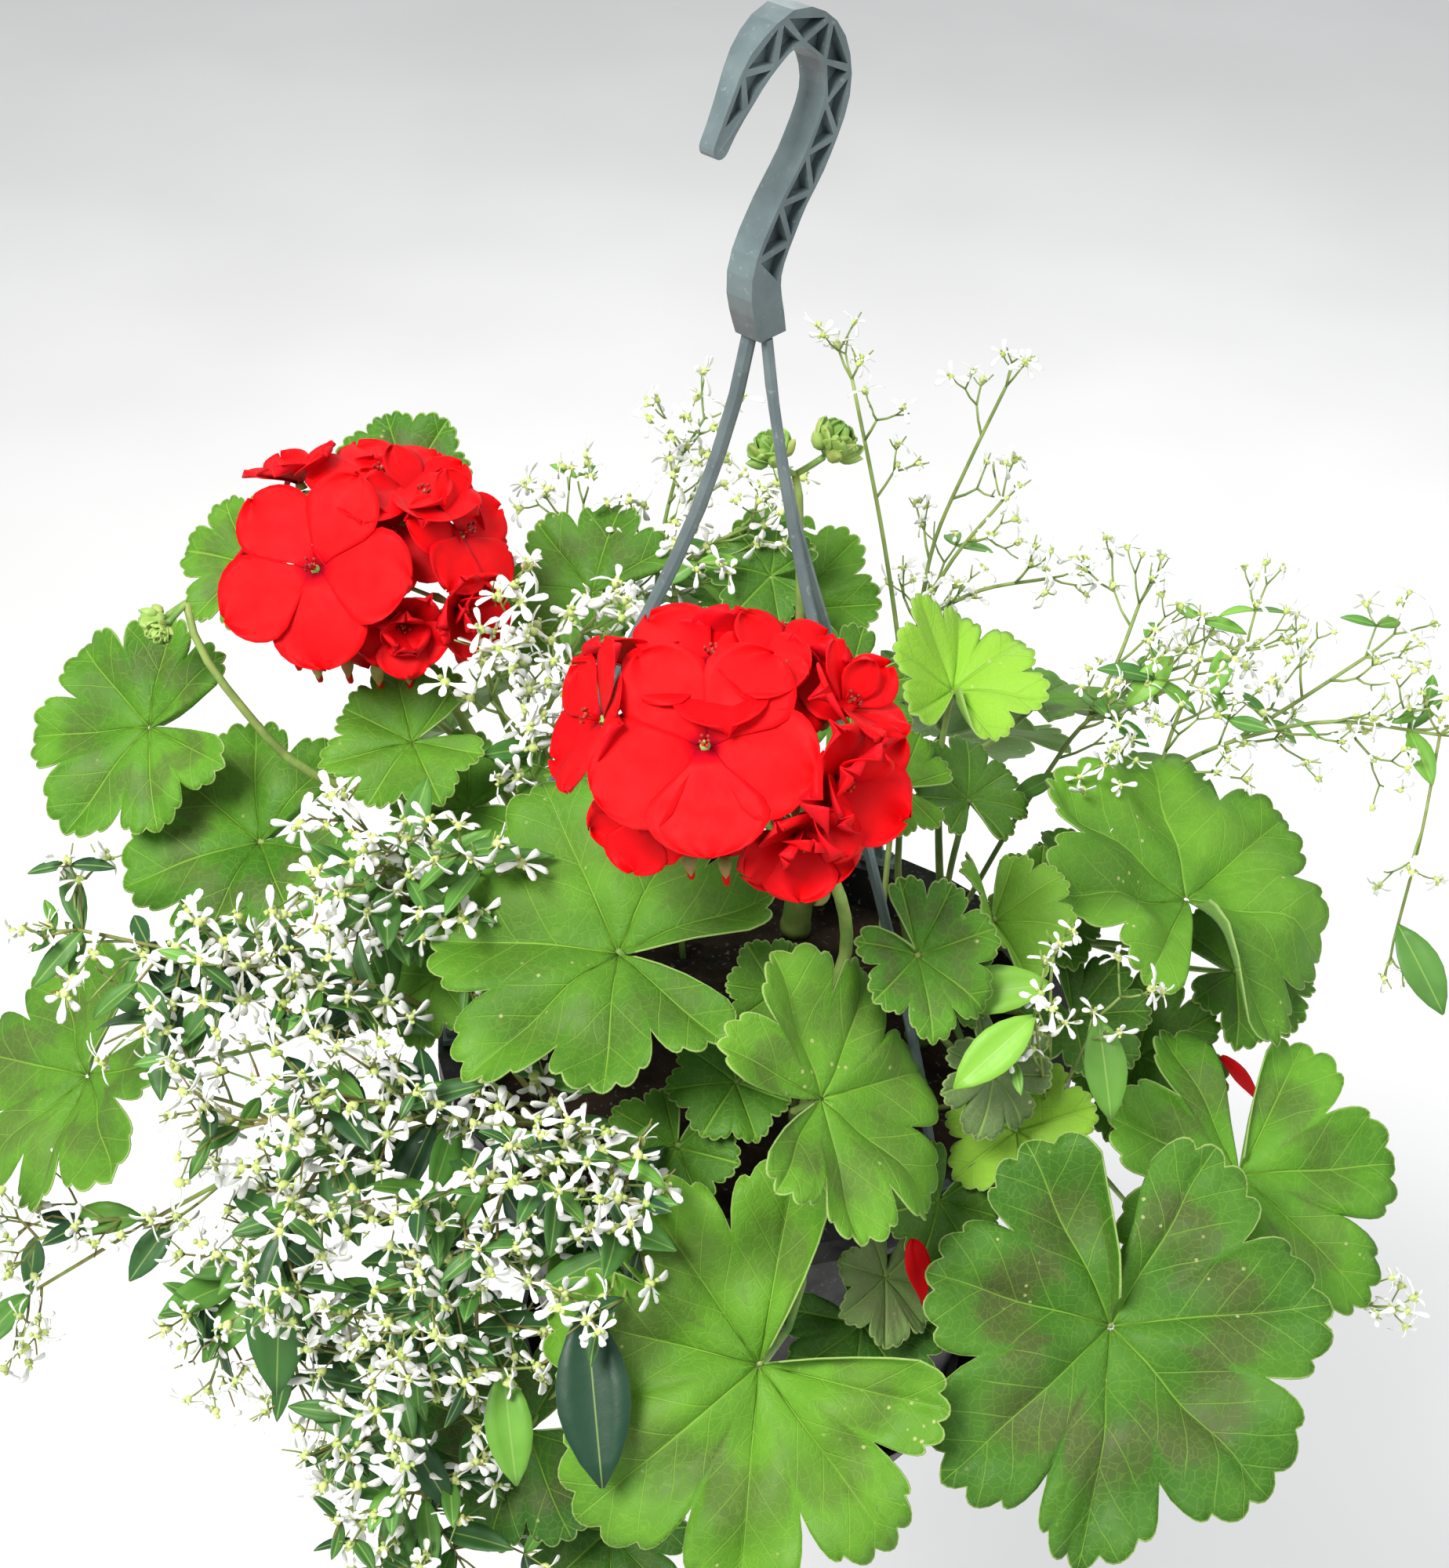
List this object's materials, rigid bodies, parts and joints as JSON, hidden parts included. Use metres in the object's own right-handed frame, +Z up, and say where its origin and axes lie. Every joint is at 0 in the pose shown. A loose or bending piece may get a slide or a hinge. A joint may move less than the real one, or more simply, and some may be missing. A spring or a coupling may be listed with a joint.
{
  "type": "mixed hanging basket",
  "caption": "Hanging flower basket: red geraniums and white-flowered spurge in a black plastic pot, on a moulded strand hanger with a ribbed hook.",
  "frame": {"origin": "the hook's seat: the crown of the inside of the hook, where a rail or bracket bears", "axes": "+Z up; +X to the right and +Y away as the basket is seen from its flowering front"},
  "size_m": [0.4965, 0.399, 0.51],
  "materials": {
    "pot_plastic": "satin black",
    "potting_soil": "rough, moist",
    "hanger_plastic": "satin slate grey",
    "geranium_stem": "soft green stem",
    "geranium_leaf": "matte leaf with a darker zone",
    "geranium_petal": "velvety red",
    "geranium_bud": "soft green",
    "spurge": "fine green stems, white bracts"
  },
  "bodies": {
    "root": {"bud_head_back": "geranium_bud", "bud_head_left": "geranium_bud", "fallen_petal_front": "geranium_petal", "fallen_petal_right": "geranium_petal", "flower_head_front": "geranium_petal", "flower_head_left": "geranium_petal", "geranium_leaf_01": "geranium_leaf", "geranium_leaf_02": "geranium_leaf", "geranium_leaf_03": "geranium_leaf", "geranium_leaf_04": "geranium_leaf", "geranium_leaf_05": "geranium_leaf", "geranium_leaf_06": "geranium_leaf", "geranium_leaf_07": "geranium_leaf", "geranium_leaf_08": "geranium_leaf", "geranium_leaf_09": "geranium_leaf", "geranium_leaf_10": "geranium_leaf", "geranium_leaf_11": "geranium_leaf", "geranium_leaf_12": "geranium_leaf", "geranium_leaf_13": "geranium_leaf", "geranium_leaf_14": "geranium_leaf", "geranium_leaf_15": "geranium_leaf", "geranium_leaf_16": "geranium_leaf", "geranium_leaf_17": "geranium_leaf", "geranium_leaf_18": "geranium_leaf", "geranium_leaf_19": "geranium_leaf", "geranium_leaf_20": "geranium_leaf", "geranium_leaf_21": "geranium_leaf", "geranium_leaf_22": "geranium_leaf", "geranium_leaf_23": "geranium_leaf", "geranium_leaf_24": "geranium_leaf", "geranium_leaf_25": "geranium_leaf", "geranium_leaf_26": "geranium_leaf", "geranium_leaf_27": "geranium_leaf", "geranium_leaf_28": "geranium_leaf", "geranium_leaf_29": "geranium_leaf", "geranium_stem_back": "geranium_stem", "geranium_stem_front": "geranium_stem", "geranium_stem_left": "geranium_stem", "geranium_stem_right": "geranium_stem", "hanger_hook": "hanger_plastic", "hanger_strand_back": "hanger_plastic", "hanger_strand_left": "hanger_plastic", "hanger_strand_right": "hanger_plastic", "pot": "pot_plastic", "saucer": "pot_plastic", "soil": "potting_soil", "spurge_spray_01": "spurge", "spurge_spray_02": "spurge", "spurge_spray_03": "spurge", "spurge_spray_04": "spurge", "spurge_spray_05": "spurge", "spurge_spray_06": "spurge", "spurge_spray_07": "spurge", "spurge_spray_08": "spurge", "spurge_spray_09": "spurge", "spurge_spray_10": "spurge", "spurge_spray_11": "spurge", "spurge_spray_12": "spurge", "spurge_spray_13": "spurge", "spurge_spray_14": "spurge"}
  },
  "joints": []
}
